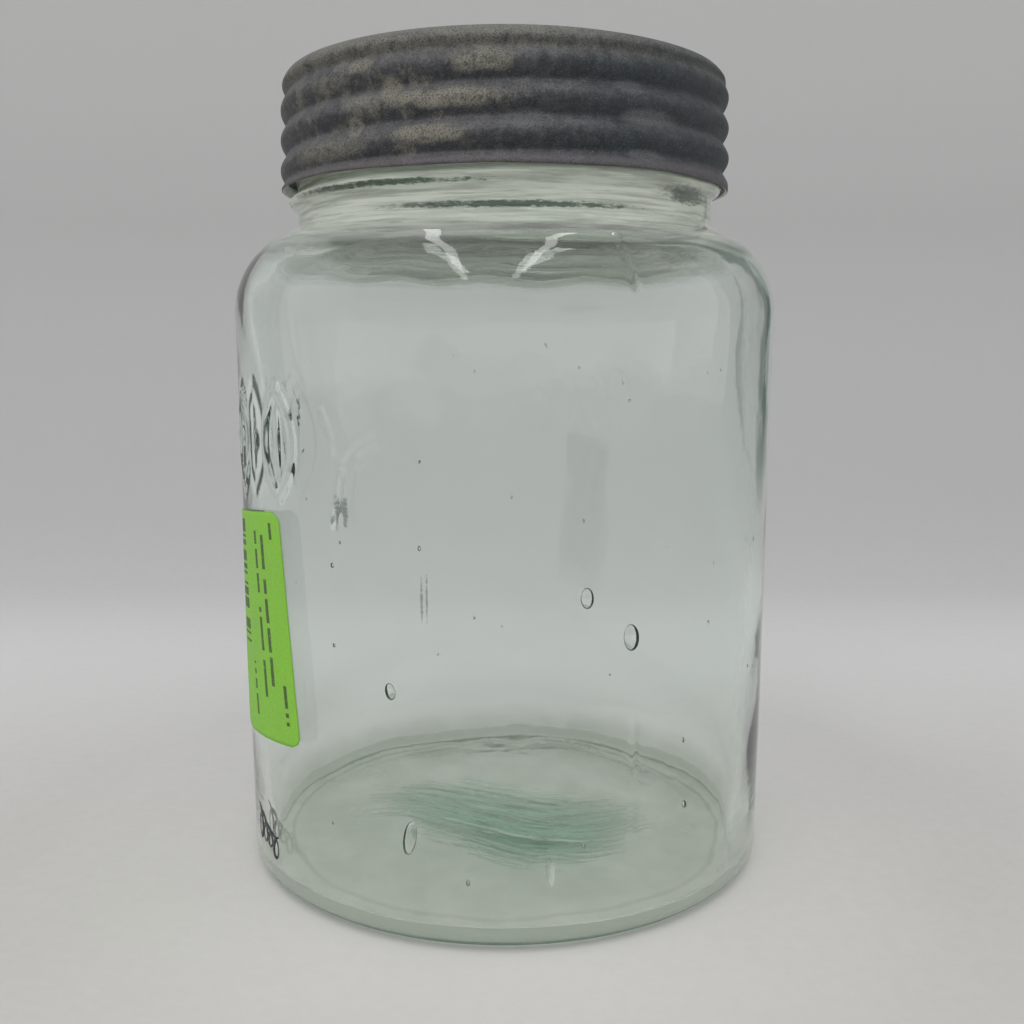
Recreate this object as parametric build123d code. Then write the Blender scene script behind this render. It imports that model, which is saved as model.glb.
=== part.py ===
from build123d import *
from math import cos, hypot, pi, radians, sin, sqrt
import os

# A squat pint canning jar with a screw-on zinc cap, a glass liner inside the cap and a price label.
# Millimetres. The jar's axis is Z, its base stands on z = 0, and -Y is the front.
# Angles called phi are seen from above, from the front of the jar, and grow towards +X.

# Glass body
BODY_TOP_R = 44.06        # outer radius where the shoulder starts
BODY_FOOT_R = 43.56       # outer radius at the foot: the body tapers by half a millimetre
HEEL_ROUND = 2.8
BEARING_RING_R = 37.5     # inner edge of the flat ring that the jar stands on
PUSH_UP = 1.6             # height of the base's hollow underside
WALL = 3.4
SHOULDER_Z = 89.8         # height where the shoulder starts
SHOULDER_ROUND = 14.0
NECK_R = 33.6
NECK_ROUND = 1.2
MOUTH_R = 30.4
MOUTH_ROUND = 3.0
LIP_ROUND = 1.3
FLOOR_EDGE_R = 34.0       # the floor is nearly flat inside this radius
FLOOR_EDGE_Z = 3.0
FLOOR_CENTRE_Z = 5.6      # the floor swells towards its centre
FLOOR_ROUND = 3.6

# Screw thread, shared by the glass and the cap: single start, right-hand
PITCH = 4.6
ROLL_Z = 118.0            # height of a cap roll's crest at the front of the jar
RIDGE_DROP = 0.35         # the glass ridge sits this far below the middle of the roll that holds it
RIDGE_ROOT_R = 33.0       # the ridge starts inside the neck's wall
RIDGE_CREST_R = 35.1
RIDGE_END_SHARE = 0.15    # how high the ridge still stands at its very ends
RIDGE_SHARES = (-1, -0.5, 0, 0.5, 1)
RIDGE_HALF_WIDTH = 2.1
RIDGE_LOW_PHI = -890.0    # total turn from the front to the ridge's lower end, in degrees
RIDGE_HIGH_PHI = 165.0    # and to its upper end
RIDGE_FADE = 40.0         # turn over which each end dies out
RIDGE_STEP = 12.0         # turn between two sections of the ridge

# Zinc cap
CAP_TOP_Z = 127.7
CAP_RIM_Z = 109.3
SHEET = 0.45              # sheet thickness
GROOVE_R = 35.35          # outer radius at the bottom of a groove
ROLL_R = 36.45            # outer radius at the crest of a roll
GROOVE_SHARPNESS = 0.18   # 0 is a sharp V between two rolls
RIM_R = 36.2
TOP_EDGE_R = 33.3         # where the rounded top edge meets the flat top
TOP_ROUND_Z = 124.6       # where the rounded top edge starts
CAP_TAPER = 0.4           # the rolled side draws in by this much from the rim to the top
SIDE_SHARE = 0.75         # share of the skin's levels that the rolled side takes
ROLL_FADE = 1.6           # height over which the rolls die out at the rim and the top
PANEL_R = 27.0            # the middle of the top is a shallow sunk panel
PANEL_DEPTH = 0.5
SKIN_LEVELS = 60
SKIN_POINTS = 60

# Opal glass liner
LINER_R = 32.8
LINER_THICK = 3.2
LINER_GAP = 0.2           # between the liner and the cap's panel
SEAT_GAP = 0.15           # between the liner and the lip of the jar
LINER_SEAT_R = 28.6       # inner edge of the ring that meets the lip
LINER_RECESS = 0.6
LINER_EDGE_ROUND = 0.7

# Price label
LABEL_WIDTH = 24.8
LABEL_HEIGHT = 35.5
LABEL_THICK = 0.15
LABEL_OFF = 0.03          # glue line between the paper and the glass
LABEL_PHI = -62.5
LABEL_Z = 42.0
LABEL_TILT = 6.0
LABEL_CORNER = 2.2

PANEL_UNDERSIDE_Z = CAP_TOP_Z - PANEL_DEPTH - SHEET
LINER_TOP_Z = PANEL_UNDERSIDE_Z - LINER_GAP
LINER_SEAT_Z = LINER_TOP_Z - LINER_THICK
LIP_Z = LINER_SEAT_Z - SEAT_GAP
SHOULDER_CENTRE_R = BODY_TOP_R - SHOULDER_ROUND


def around(radius, phi, z):
    """The point at a radius, an angle from the front and a height."""
    return Vector(radius * sin(radians(phi)), -radius * cos(radians(phi)), z)


def glass_radius(z):
    """Outer radius of the straight body at a height."""
    return BODY_FOOT_R + (BODY_TOP_R - BODY_FOOT_R) * z / SHOULDER_Z


def lathe(outline):
    """Turns a closed outline of (radius, height) around the jar's axis."""
    return revolve(Plane.XZ * outline, Axis.Z)


def rounded(outline, corners):
    """Rounds the named corners of an outline: each is (radius, height, rounding)."""
    for r, z, size in corners:
        corner = min(outline.vertices(), key=lambda v: hypot(v.X - r, v.Y - z))
        outline = fillet(corner, size)
    return outline


def shoulder_arc(wall, meets_r):
    """The shoulder's arc, a wall thickness inside the outer one, up to the radius it meets."""
    radius = SHOULDER_ROUND - wall
    rise = sqrt(radius**2 - (meets_r - SHOULDER_CENTRE_R) ** 2)
    start = (SHOULDER_CENTRE_R + radius, SHOULDER_Z)
    end = (meets_r, SHOULDER_Z + rise)
    return RadiusArc(start, end, -radius), end


def glass_outline():
    """Section through the blown glass, from the axis out over the body and back inside."""
    shoulder, neck_foot = shoulder_arc(0, NECK_R)
    inner_shoulder, mouth_foot = shoulder_arc(WALL, MOUTH_R)
    inner_top_r = BODY_TOP_R - WALL
    inner_foot_r = BODY_FOOT_R - WALL
    hollow = RadiusArc((0, PUSH_UP), (BEARING_RING_R, 0), BEARING_RING_R**2 / (2 * PUSH_UP))
    outline = make_face(
        [
            hollow,
            Line((BEARING_RING_R, 0), (BODY_FOOT_R, 0)),
            Line((BODY_FOOT_R, 0), (BODY_TOP_R, SHOULDER_Z)),
            shoulder,
            Line(neck_foot, (NECK_R, LIP_Z)),
            Line((NECK_R, LIP_Z), (MOUTH_R, LIP_Z)),
            Line((MOUTH_R, LIP_Z), mouth_foot),
            inner_shoulder,
            Line((inner_top_r, SHOULDER_Z), (inner_foot_r, FLOOR_EDGE_Z)),
            Line((inner_foot_r, FLOOR_EDGE_Z), (FLOOR_EDGE_R, FLOOR_EDGE_Z)),
            Spline(
                (FLOOR_EDGE_R, FLOOR_EDGE_Z),
                (0, FLOOR_CENTRE_Z),
                tangents=[(-1, 0), (-1, 0)],
            ),
            Line((0, FLOOR_CENTRE_Z), (0, PUSH_UP)),
        ]
    )
    return rounded(
        outline,
        [
            (BODY_FOOT_R, 0, HEEL_ROUND),
            (neck_foot[0], neck_foot[1], NECK_ROUND),
            (NECK_R, LIP_Z, LIP_ROUND),
            (MOUTH_R, LIP_Z, LIP_ROUND),
            (mouth_foot[0], mouth_foot[1], MOUTH_ROUND),
            (inner_foot_r, FLOOR_EDGE_Z, FLOOR_ROUND),
        ],
    )


def helix_z(phi):
    """Height of the thread at a total turn from the front, for the roll nearest ROLL_Z."""
    return ROLL_Z + PITCH * phi / 360


def ridge_section(phi):
    """Section of the glass ridge at a total turn: a rounded bump on a flat buried foot."""
    from_end = min(phi - RIDGE_LOW_PHI, RIDGE_HIGH_PHI - phi) / RIDGE_FADE
    fade = min(1.0, max(0.0, from_end))
    rise = RIDGE_END_SHARE + (1 - RIDGE_END_SHARE) * fade * fade * (3 - 2 * fade)
    height = (RIDGE_CREST_R - RIDGE_ROOT_R) * rise
    z = helix_z(phi) - RIDGE_DROP
    bump = [
        around(RIDGE_ROOT_R + height * cos(pi * share / 2) ** 2, phi, z + share * RIDGE_HALF_WIDTH)
        for share in RIDGE_SHARES
    ]
    return Wire([Edge.make_spline(bump), Edge.make_line(bump[-1], bump[0])])


def glass_ridge():
    """The raised thread on the neck."""
    steps = round((RIDGE_HIGH_PHI - RIDGE_LOW_PHI) / RIDGE_STEP)
    turn = (RIDGE_HIGH_PHI - RIDGE_LOW_PHI) / steps
    sections = [ridge_section(RIDGE_LOW_PHI + i * turn) for i in range(steps + 1)]
    return Solid.make_loft(sections)


def jar_body():
    """The blown glass jar with its screw thread."""
    return lathe(glass_outline()) + glass_ridge()


def roll_share(phi, z):
    """0 in a groove of the cap's rolled thread, 1 on the crest of a roll."""
    turn = (z - helix_z(phi)) / PITCH + 0.5
    low = GROOVE_SHARPNESS
    high = sqrt(1 + GROOVE_SHARPNESS**2)
    return (sqrt(sin(pi * turn) ** 2 + GROOVE_SHARPNESS**2) - low) / (high - low)


def cap_level(share):
    """Radius with no rolls, height and strength of the rolls, from the rim (0) to the top (1)."""
    if share <= SIDE_SHARE:
        up = share / SIDE_SHARE
        z = CAP_RIM_Z + (TOP_ROUND_Z - CAP_RIM_Z) * up
        fade = min(1.0, (z - CAP_RIM_Z) / ROLL_FADE)
        return RIM_R - CAP_TAPER * up, z, fade * fade * (3 - 2 * fade)
    bend = (share - SIDE_SHARE) / (1 - SIDE_SHARE) * pi / 2
    r = TOP_EDGE_R + (RIM_R - CAP_TAPER - TOP_EDGE_R) * cos(bend)
    z = TOP_ROUND_Z + (CAP_TOP_Z - TOP_ROUND_Z) * sin(bend)
    fade = max(0.0, 1 - (z - TOP_ROUND_Z) / ROLL_FADE)
    return r, z, fade * fade * (3 - 2 * fade)


def cap_skin(inset, floor_z, top_z):
    """The cap's outer form, filled in, as a stack of level outlines set in by a distance."""
    even = [k / SKIN_POINTS for k in range(SKIN_POINTS + 1)]
    levels = []
    for i in range(SKIN_LEVELS + 1):
        r, z, strength = cap_level(i / SKIN_LEVELS)
        share = (z - CAP_RIM_Z) / (CAP_TOP_Z - CAP_RIM_Z)
        level_z = floor_z + (top_z - floor_z) * share
        points = []
        for k in range(SKIN_POINTS):
            phi = 360 * k / SKIN_POINTS
            rolled = GROOVE_R + (ROLL_R - GROOVE_R) * roll_share(phi, level_z)
            radius = r + (rolled - RIM_R) * strength - inset
            points.append(around(radius, phi, level_z))
        levels.append(Wire(Edge.make_spline(points, periodic=True, parameters=even)))
    return Solid.make_loft(levels)


def screw_cap():
    """The rolled zinc shell: a thin wall with a helical thread and a sunk top panel."""
    below = SHEET
    shell = cap_skin(0, CAP_RIM_Z, CAP_TOP_Z)
    hollow = cap_skin(SHEET, CAP_RIM_Z - below, CAP_TOP_Z - SHEET)
    panel = Pos(0, 0, CAP_TOP_Z) * Cylinder(PANEL_R, 2 * PANEL_DEPTH)
    under_z = CAP_TOP_Z - SHEET
    under_panel = Pos(0, 0, under_z) * Cylinder(PANEL_R + SHEET, 2 * PANEL_DEPTH)
    return (shell - panel) - (hollow - under_panel)


def cap_liner():
    """The opal glass disc that seals on the lip: flat above, with a seating ring below."""
    outline = Polyline(
        (0, LINER_TOP_Z),
        (LINER_R, LINER_TOP_Z),
        (LINER_R, LINER_SEAT_Z),
        (LINER_SEAT_R, LINER_SEAT_Z),
        (LINER_SEAT_R - LINER_RECESS, LINER_SEAT_Z + LINER_RECESS),
        (0, LINER_SEAT_Z + LINER_RECESS),
        (0, LINER_TOP_Z),
    )
    corners = [(LINER_R, LINER_TOP_Z, LINER_EDGE_ROUND), (LINER_R, LINER_SEAT_Z, LINER_EDGE_ROUND)]
    return lathe(rounded(make_face(outline), corners))


def price_label():
    """The paper label, wrapped round the glass with its corners rounded and a slight tilt."""
    low, high = LABEL_Z - LABEL_HEIGHT, LABEL_Z + LABEL_HEIGHT
    inner_low = glass_radius(low) + LABEL_OFF
    inner_high = glass_radius(high) + LABEL_OFF
    band = Polyline(
        (inner_low, low),
        (inner_low + LABEL_THICK, low),
        (inner_high + LABEL_THICK, high),
        (inner_high, high),
        (inner_low, low),
    )
    front = Plane(
        origin=around(0, 0, LABEL_Z),
        x_dir=around(1, LABEL_PHI + 90, 0),
        z_dir=around(1, LABEL_PHI, 0),
    )
    cut = RectangleRounded(LABEL_WIDTH, LABEL_HEIGHT, LABEL_CORNER, rotation=LABEL_TILT)
    return lathe(make_face(band)) & extrude(front * cut, 2 * BODY_TOP_R)


PARTS = {
    "jar_body": jar_body,
    "screw_cap": screw_cap,
    "cap_liner": cap_liner,
    "price_label": price_label,
}


def main():
    os.makedirs("parts", exist_ok=True)
    for name, make in PARTS.items():
        export_step(make(), f"parts/{name}.step")
        print(f"wrote {name}")


main()
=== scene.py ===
from math import cos, degrees, pi, radians, sin, sqrt

import bpy
import numpy as np
from mathutils import Matrix, Vector


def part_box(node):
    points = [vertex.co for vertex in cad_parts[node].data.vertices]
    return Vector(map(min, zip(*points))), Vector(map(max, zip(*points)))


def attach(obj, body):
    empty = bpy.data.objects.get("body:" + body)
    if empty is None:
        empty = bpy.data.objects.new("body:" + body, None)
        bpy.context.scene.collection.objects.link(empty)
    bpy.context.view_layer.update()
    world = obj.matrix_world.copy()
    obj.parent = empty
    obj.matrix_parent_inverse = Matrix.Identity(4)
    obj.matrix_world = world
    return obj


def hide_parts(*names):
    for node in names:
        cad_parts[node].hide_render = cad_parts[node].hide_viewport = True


# The jar in millimetres, in the frame's axes: Z is the jar's axis, -Y the front.
# Angles called phi are seen from above, from the front, and grow towards +X.

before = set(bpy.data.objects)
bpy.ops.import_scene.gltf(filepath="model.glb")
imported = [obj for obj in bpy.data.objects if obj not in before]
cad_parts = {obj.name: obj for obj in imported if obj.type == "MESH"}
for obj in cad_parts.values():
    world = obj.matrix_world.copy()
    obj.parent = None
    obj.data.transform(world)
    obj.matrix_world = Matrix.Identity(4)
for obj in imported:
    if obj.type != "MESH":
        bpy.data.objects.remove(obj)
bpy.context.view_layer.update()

MM = 0.001


def cad(node):
    """Lowest and highest corner of a CAD node, in millimetres."""
    low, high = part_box(node)
    return low / MM, high / MM


JAR_HIGH = cad("jar_body")[1]
CAP_LOW, CAP_HIGH = cad("screw_cap")
LINER_LOW, LINER_HIGH = cad("cap_liner")

# Glass, as in the CAD model, but for the floor's edge, which is sharper and 0.6 mm lower here
BODY_TOP_R = JAR_HIGH.x
BODY_TAPER = 0.5
BODY_FOOT_R = BODY_TOP_R - BODY_TAPER
LIP_Z = JAR_HIGH.z
HEEL_ROUND = 2.8
RING_R = 37.5
PUSH_UP = 1.6
WALL = 3.4
SHOULDER_Z = 89.8
SHOULDER_ROUND = 14.0
SHOULDER_CENTRE_R = BODY_TOP_R - SHOULDER_ROUND
NECK_R = 33.6
NECK_ROUND = 1.4
MOUTH_R = 30.4
MOUTH_ROUND = 3.0
LIP_ROUND = 1.3
FLOOR_EDGE_R = 34.0
FLOOR_EDGE_Z = 2.4
FLOOR_CENTRE_Z = 5.6
FLOOR_ROUND = 0.5

# Thread, as in the CAD model
PITCH = 4.6
ROLL_Z = 118.0
RIDGE_DROP = 0.35
RIDGE_ROOT_R = 33.0
RIDGE_CREST_R = 35.1
RIDGE_HALF_WIDTH = 2.1
RIDGE_LOW_PHI = -890.0
RIDGE_HIGH_PHI = 165.0
RIDGE_FADE = 40.0

# Cap, as in the CAD model
SHEET = 0.45
GROOVE_R = 35.35
ROLL_R = CAP_HIGH.x
RIM_R = 36.2
TOP_EDGE_R = 33.3
TOP_ROUND_Z = 124.6
ROLL_FADE = 1.6
PANEL_R = 27.0
PANEL_DEPTH = 0.5
GROOVE_SHARPNESS = 0.18
CAP_TAPER = 0.4

# Label, as in the CAD model
LABEL_WIDTH = 24.8
LABEL_HEIGHT = 35.5
LABEL_THICK = 0.15
LABEL_OFF = 0.03
LABEL_PHI = -62.5
LABEL_Z = 42.0
LABEL_TILT = 6.0
LABEL_CORNER = 2.2

SEAM_PHI = 22.0


# ---------------------------------------------------------------- meshes


def smoothstep(x):
    x = np.clip(x, 0.0, 1.0)
    return x * x * (3 - 2 * x)


def bump(distance, width):
    return np.exp(-((distance / width) ** 2))


def turn_between(phi, centre):
    """phi less centre, brought to -180..180."""
    return (phi - centre + 180) % 360 - 180


def ripples(seed, count, around, up):
    """A smooth random field of (phi, z), periodic round the jar, about 1 high."""
    rng = np.random.default_rng(seed)
    terms = [
        (rng.integers(1, around + 1), rng.uniform(-up, up), rng.uniform(0, 2 * pi))
        for _ in range(count)
    ]

    def field(phi, z):
        total = 0.0
        for k, rate, phase in terms:
            total = total + np.sin(k * np.radians(phi) + rate * z + phase)
        return total / sqrt(count)

    return field


def arc(centre, radius, start, end, step):
    """Points on an arc, from start to end in degrees, about a step apart."""
    count = max(2, round(abs(radians(end - start)) * radius / step))
    angles = np.radians(np.linspace(start, end, count + 1))
    return np.column_stack(
        (centre[0] + radius * np.cos(angles), centre[1] + radius * np.sin(angles))
    )


def line(start, end, step):
    count = max(1, round(float(np.hypot(end[0] - start[0], end[1] - start[1])) / step))
    return np.linspace(start, end, count + 1)


def joined(*runs):
    """Runs of outline points, one after another, with shared ends kept once."""
    points = [runs[0]]
    for run in runs[1:]:
        skip = np.allclose(run[0], points[-1][-1], atol=1e-6)
        points.append(run[1:] if skip else run)
    return np.vstack(points)


def normals_of(outline):
    """The air side's direction at each point of an outline that goes out, up and back in."""
    along = np.gradient(outline, axis=0)
    along /= np.linalg.norm(along, axis=1)[:, None]
    return np.column_stack((along[:, 1], -along[:, 0]))


def swept(r, z, phis):
    """Vertices and faces of an outline turned round the axis, from the radius and height at each
    of its points and each angle. Its two ends lie on the axis."""
    turn = np.radians(phis)
    ring = np.stack((r * np.sin(turn), -r * np.cos(turn), z), axis=-1)
    rows, columns = r.shape
    inner = ring[1:-1].reshape(-1, 3)
    first, last = ring[0].mean(axis=0), ring[-1].mean(axis=0)
    verts = np.vstack((inner, first, last))
    start, end = len(inner), len(inner) + 1
    row = np.arange(rows - 3)[:, None] * columns
    here = np.arange(columns)[None, :]
    after = (here + 1) % columns
    quads = np.stack(
        (row + here, row + after, row + columns + after, row + columns + here), axis=-1
    ).reshape(-1, 4)
    one = np.arange(columns)
    two = (one + 1) % columns
    base = (rows - 3) * columns
    fan = [(start, b, a) for a, b in zip(one, two)]
    fan += [(end, base + a, base + b) for a, b in zip(one, two)]
    return verts, [tuple(q) for q in quads] + fan


def new_mesh(name, verts, faces):
    """A smooth mesh object, from millimetres."""
    mesh = bpy.data.meshes.new(name)
    mesh.from_pydata((np.asarray(verts) * MM).tolist(), [], [list(map(int, f)) for f in faces])
    mesh.update()
    mesh.shade_smooth()
    piece = bpy.data.objects.new(name, mesh)
    bpy.context.scene.collection.objects.link(piece)
    return piece


# ---------------------------------------------------------------- glass shape


def glass_radius(z):
    return BODY_FOOT_R + BODY_TAPER * z / SHOULDER_Z


def tangent_round(corner, before, after, radius, step):
    """The arc that rounds a corner between two straight runs, as points."""
    corner, before, after = (np.array(p, float) for p in (corner, before, after))
    u = (before - corner) / np.linalg.norm(before - corner)
    v = (after - corner) / np.linalg.norm(after - corner)
    half = np.arccos(np.clip(u @ v, -1, 1)) / 2
    middle = corner + (u + v) / np.linalg.norm(u + v) * radius / np.sin(half)
    p = corner + u * radius / np.tan(half) - middle
    q = corner + v * radius / np.tan(half) - middle
    a = np.arctan2(p[1], p[0])
    b = np.arctan2(q[1], q[0])
    b = a + (b - a + pi) % (2 * pi) - pi
    return arc(middle, radius, degrees(a), degrees(b), step)


def shoulder_arc(wall, meets_r, step):
    """The shoulder's arc, a wall thickness in from the outside, up to the radius where it ends."""
    radius = SHOULDER_ROUND - wall
    top = np.degrees(np.arccos((meets_r - SHOULDER_CENTRE_R) / radius))
    return arc((SHOULDER_CENTRE_R, SHOULDER_Z), radius, 0, top, step)


def glass_outline():
    """Section of the glass from under its centre, out, up over the lip and back in to the floor.
    Returns the points and each point's side: 0 under, 1 outside, 2 inside, 3 the floor."""
    heel = tangent_round(
        (BODY_FOOT_R, 0), (RING_R, 0), (BODY_TOP_R, SHOULDER_Z), HEEL_ROUND, 0.6
    )
    under_r = np.linspace(0, RING_R, 38)
    under = np.column_stack((under_r, PUSH_UP * (1 - (under_r / RING_R) ** 2)))
    low = line(heel[-1], (glass_radius(58.0), 58.0), 2.4)
    band = line(low[-1], (glass_radius(82.0), 82.0), 0.6)
    high = line(band[-1], (BODY_TOP_R, SHOULDER_Z), 1.6)
    neck_meets = NECK_R + NECK_ROUND * 0.8
    shoulder = shoulder_arc(0, neck_meets, 0.6)
    neck_foot = (NECK_R, shoulder[-1][1] + NECK_ROUND)
    hollow = np.array(
        [
            (neck_meets - 0.55 * NECK_ROUND, shoulder[-1][1] + 0.18 * NECK_ROUND),
            (neck_meets - 0.75 * NECK_ROUND, shoulder[-1][1] + 0.5 * NECK_ROUND),
        ]
    )
    neck = line(neck_foot, (NECK_R, LIP_Z - LIP_ROUND), 0.5)
    lip_out = arc((NECK_R - LIP_ROUND, LIP_Z - LIP_ROUND), LIP_ROUND, 0, 90, 0.4)
    lip_in = arc((MOUTH_R + LIP_ROUND, LIP_Z - LIP_ROUND), LIP_ROUND, 90, 180, 0.4)
    inner_shoulder = shoulder_arc(WALL, MOUTH_R + MOUTH_ROUND, 1.4)[::-1]
    throat_foot = inner_shoulder[0][1] + 0.5 * MOUTH_ROUND
    throat = line(lip_in[-1], (MOUTH_R, throat_foot + MOUTH_ROUND * 0.6), 3.0)
    corner = np.array([(MOUTH_R + 0.15, throat_foot + 0.8), (MOUTH_R + 0.8, throat_foot - 0.2)])
    inner_foot = BODY_FOOT_R - WALL
    wall_top = (BODY_TOP_R - WALL, SHOULDER_Z)
    floor_round = tangent_round(
        (inner_foot, FLOOR_EDGE_Z), wall_top, (FLOOR_EDGE_R, FLOOR_EDGE_Z), FLOOR_ROUND, 0.15
    )
    wall = joined(
        line(wall_top, (inner_foot, FLOOR_EDGE_Z + 2.5), 2.6),
        line((inner_foot, FLOOR_EDGE_Z + 2.5), floor_round[0], 0.35),
    )
    floor_r = np.linspace(floor_round[-1][0], 0, 50)
    swell = 0.5 + 0.5 * np.cos(pi * floor_r / floor_round[-1][0])
    floor = np.column_stack(
        (floor_r, FLOOR_EDGE_Z + (FLOOR_CENTRE_Z - FLOOR_EDGE_Z) * swell)
    )
    sides = [
        (0, [under, heel]),
        (1, [low, band, high, shoulder, hollow, neck, lip_out]),
        (2, [lip_in, throat, corner, inner_shoulder, wall, floor_round]),
        (3, [floor]),
    ]
    points, side = None, []
    for label, runs in sides:
        for run in runs:
            before = 0 if points is None else len(points)
            points = run if points is None else joined(points, run)
            side += [label] * (len(points) - before)
    return points, np.array(side)


def helix_z(total_phi):
    return ROLL_Z + PITCH * total_phi / 360


def thread_ridge(phi, z):
    """How far the thread stands out of the neck."""
    stands = np.zeros(np.broadcast(phi, z).shape)
    for turn in range(-3, 2):
        total = phi + 360 * turn
        from_end = np.minimum(total - RIDGE_LOW_PHI, RIDGE_HIGH_PHI - total) / RIDGE_FADE
        height = (RIDGE_CREST_R - RIDGE_ROOT_R) * smoothstep(from_end)
        off = (z - helix_z(total) + RIDGE_DROP) / RIDGE_HALF_WIDTH
        crest = height * np.cos(pi * np.clip(off, -1, 1) / 2) ** 2
        stands = np.maximum(stands, crest - (NECK_R - RIDGE_ROOT_R))
    return stands


ORNAMENT_Z = 71.0
ORNAMENT_FIRST = -48.5
ORNAMENT_PITCH = 19.0
ORNAMENT_COUNT = 4
LEAF_HALF_WIDTH = 3.9
LEAF_HALF_HEIGHT = 8.0
STROKE = 0.75
RELIEF = 0.22


def leaf_relief(a, b):
    """A raised leaf outline with a midrib, centred at a = b = 0, in millimetres."""
    share = np.clip(1 - (b / LEAF_HALF_HEIGHT) ** 2, 0, 1)
    edge = np.abs(a) - LEAF_HALF_WIDTH * share
    slope = 2 * LEAF_HALF_WIDTH * b / LEAF_HALF_HEIGHT**2
    off = np.where(
        np.abs(b) < LEAF_HALF_HEIGHT,
        edge / np.sqrt(1 + slope**2),
        np.hypot(a, np.abs(b) - LEAF_HALF_HEIGHT),
    )
    rib_end = np.clip(np.abs(b) - 0.55 * LEAF_HALF_HEIGHT, 0, None)
    rib = np.hypot(a, rib_end)
    return np.maximum(flat_stroke(off), 0.8 * flat_stroke(rib * 1.2))


def flat_stroke(off):
    """Section of a raised stroke: nearly flat on top with rounded sides."""
    return smoothstep(1.35 - np.abs(off) / STROKE * 0.75)


def ornament(phi, z):
    """The band of raised leaves and beads on the jar's left side."""
    relief = np.zeros(np.broadcast(phi, z).shape)
    for i in range(ORNAMENT_COUNT):
        centre = ORNAMENT_FIRST - ORNAMENT_PITCH * i
        a = np.radians(turn_between(phi, centre)) * BODY_TOP_R
        bead = np.radians(turn_between(phi, centre - ORNAMENT_PITCH / 2)) * BODY_TOP_R
        relief = np.maximum(relief, leaf_relief(a, z - ORNAMENT_Z))
        if i < ORNAMENT_COUNT - 1:
            relief = np.maximum(relief, smoothstep(1.9 - np.hypot(bead, z - ORNAMENT_Z) / 0.8))
    return RELIEF * relief


def seam(phi, z):
    """The two mould seams, with a jog where the neck's mould met the body's."""
    jog = 4.0 * smoothstep((104 - z) / 3) + 2.5 * smoothstep((98 - z) / 10)
    raised = 0.0
    for side in (0, 180):
        off = np.radians(turn_between(phi, SEAM_PHI - 4.0 + side + jog)) * BODY_TOP_R
        raised = raised + bump(off, 0.4)
    return (0.05 + 0.11 * smoothstep((z - 90) / 6)) * raised * smoothstep((z - 5) / 3)


# Creases and scratches in the outer skin: points of (phi, z), depth and half width
CREASES = [
    ([(-35.3, 75.8), (-33.8, 73.2), (-32.7, 70.9)], 0.30, 0.36),
    ([(-30.9, 67.4), (-31.6, 64.2), (-33.2, 60.6)], 0.50, 0.45),
    ([(-30.2, 68.6), (-27.6, 70.8), (-24.0, 72.4)], -0.24, 0.55),
    ([(-15.2, 53.8), (-15.0, 47.6)], 0.16, 0.26),
    ([(8.9, 14.4), (9.0, 9.6)], -0.16, 0.5),
    ([(-30.9, 42.0), (-30.2, 41.0), (-29.8, 40.2)], 0.2, 0.4),
]


def creases(phi, z):
    """How far the creases cut into the outer skin."""
    cut = np.zeros(np.broadcast(phi, z).shape)
    for points, depth, width in CREASES:
        nearest = np.full(cut.shape, 99.0)
        for (phi0, z0), (phi1, z1) in zip(points, points[1:]):
            scale = radians(1) * BODY_TOP_R
            du, dv = (phi1 - phi0) * scale, z1 - z0
            u, v = turn_between(phi, phi0) * scale, z - z0
            along = np.clip((u * du + v * dv) / (du * du + dv * dv), 0, 1)
            nearest = np.minimum(nearest, np.hypot(u - along * du, v - along * dv))
        cut = cut + depth * bump(nearest, width)
    return cut


skin_waves = ripples(3, 14, 7, 0.10)
skin_whittle = ripples(5, 16, 26, 0.5)
inner_waves = ripples(8, 16, 6, 0.16)
inner_fine = ripples(9, 16, 22, 0.45)


def neck_rings(phi, z):
    """Uneven rings that run round the neck and the top of the shoulder."""
    wander = 1.6 * skin_waves(phi, z * 0.3)
    fine = np.sin(2 * pi * z / 1.9 + wander) * (0.5 + 0.5 * inner_waves(phi, z))
    broad = np.sin(2 * pi * z / 3.1 - 1.3 * wander)
    return (0.035 * fine + 0.03 * broad) * smoothstep((z - 94) / 6)


def outer_relief(phi, z):
    """Everything that stands proud of, or cuts into, the straight outer skin."""
    level = 0.05 * skin_waves(phi, z) + 0.012 * skin_whittle(phi, z)
    return level + neck_rings(phi, z) + seam(phi, z) + ornament(phi, z) - creases(phi, z)


# The streaks of the base's scar swing forwards and back along their length, as a sine
SCAR_SWING = 6.7
SCAR_START = 9.0
SCAR_LENGTH = 10.5


def scar_flow(x):
    return -SCAR_SWING * np.sin((x + SCAR_START) / SCAR_LENGTH)


def chill_marks(x, y, seed, lines):
    """Fine flowing ridges in the middle of the base, left where the gather was sheared."""
    rng = np.random.default_rng(seed)
    across = y - scar_flow(x)
    total = np.zeros(x.shape)
    for _ in range(lines):
        at = rng.uniform(-13, 10)
        middle = rng.uniform(-16, 16)
        reach = rng.uniform(4, 14)
        tilt = rng.uniform(-0.16, 0.16)
        width = rng.uniform(0.4, 0.7)
        height = rng.uniform(-1, 1)
        off = across - at - tilt * (x - middle)
        total += height * bump(off, width) * bump(x - middle, reach)
    return total * smoothstep(1.35 - np.hypot(x / 25, (across + 2) / 14))


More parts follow.
